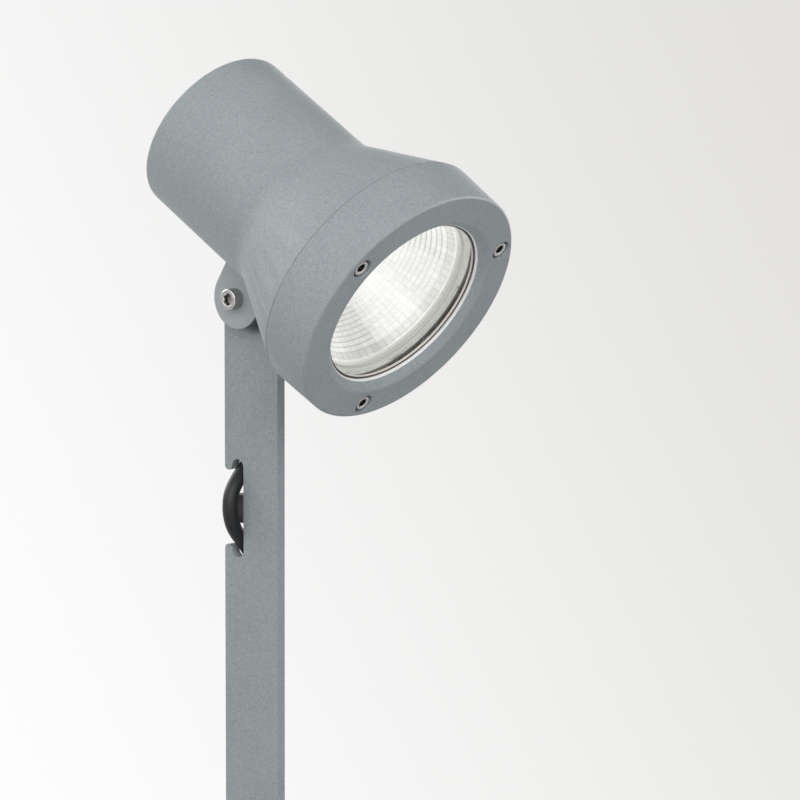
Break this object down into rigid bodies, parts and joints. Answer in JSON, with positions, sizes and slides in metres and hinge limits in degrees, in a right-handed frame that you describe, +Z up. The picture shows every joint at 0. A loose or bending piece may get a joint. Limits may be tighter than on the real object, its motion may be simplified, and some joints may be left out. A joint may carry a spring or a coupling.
{
  "type": "garden spike spotlight",
  "caption": "Adjustable outdoor spotlight: a round tapered head with a glass front tilts on a clamped bolt at the top of a flat pointed bar that is pushed into the ground.",
  "frame": {"origin": "the tip of the spike, on the middle plane of the flat bar", "axes": "+Z up the bar towards the hinge, +X the way that the head points, +Y across the bar's flat face towards the cable side"},
  "size_m": [0.1763, 0.2212, 0.6636],
  "materials": {
    "bar_paint": "fine-textured grey powder coat",
    "head_paint": "fine-textured grey powder coat over die-cast aluminium",
    "stainless": "bright stainless steel",
    "clear_glass": "clear toughened glass",
    "seal_rubber": "grey silicone rubber",
    "bright_reflector": "bright anodised, finely faceted",
    "light_plastic": "matt light grey plastic",
    "white_plastic": "matt white plastic",
    "bare_aluminium": "plain machined aluminium",
    "dark_plastic": "matt black plastic",
    "black_rubber": "matt black rubber",
    "wire_sleeve": "smooth coloured wire sleeve"
  },
  "bodies": {
    "stem": {"stem": "bar_paint", "hinge_bolt": "stainless", "hinge_washer": "stainless", "hinge_nut": "stainless", "cable_upper": "black_rubber", "cable_lower": "black_rubber", "cable_coil": "black_rubber", "cable_tail": "black_rubber", "plug_body": "black_rubber", "plug_pins": "stainless", "plug_earth_clips": "stainless"},
    "head": {"housing": "head_paint", "bezel": "head_paint", "bezel_screws": "stainless", "front_glass": "clear_glass", "glass_seal": "seal_rubber", "reflector": "bright_reflector", "reflector_collar": "light_plastic", "lamp_board": "white_plastic", "lamp_holder": "white_plastic", "holder_screws": "stainless", "heat_pad": "seal_rubber", "heat_spreader": "bare_aluminium", "spreader_screws": "stainless", "driver_tray": "bare_aluminium", "tray_screws": "stainless", "lamp_driver": "white_plastic", "driver_screws": "stainless", "terminal_block": "white_plastic", "lamp_leads": "wire_sleeve", "mains_cores": "wire_sleeve", "gland_body": "dark_plastic", "gland_gasket": "black_rubber", "gland_seal": "black_rubber", "gland_cap": "dark_plastic", "cable_entry": "black_rubber"}
  },
  "joints": [
    {"name": "head_tilt", "type": "hinge", "parent": "stem", "child": "head", "pos_m": [0, 0, 0.55], "axis": [0, 1, 0], "range_deg": [-105, 35], "deforming": ["cable_upper"]}
  ]
}
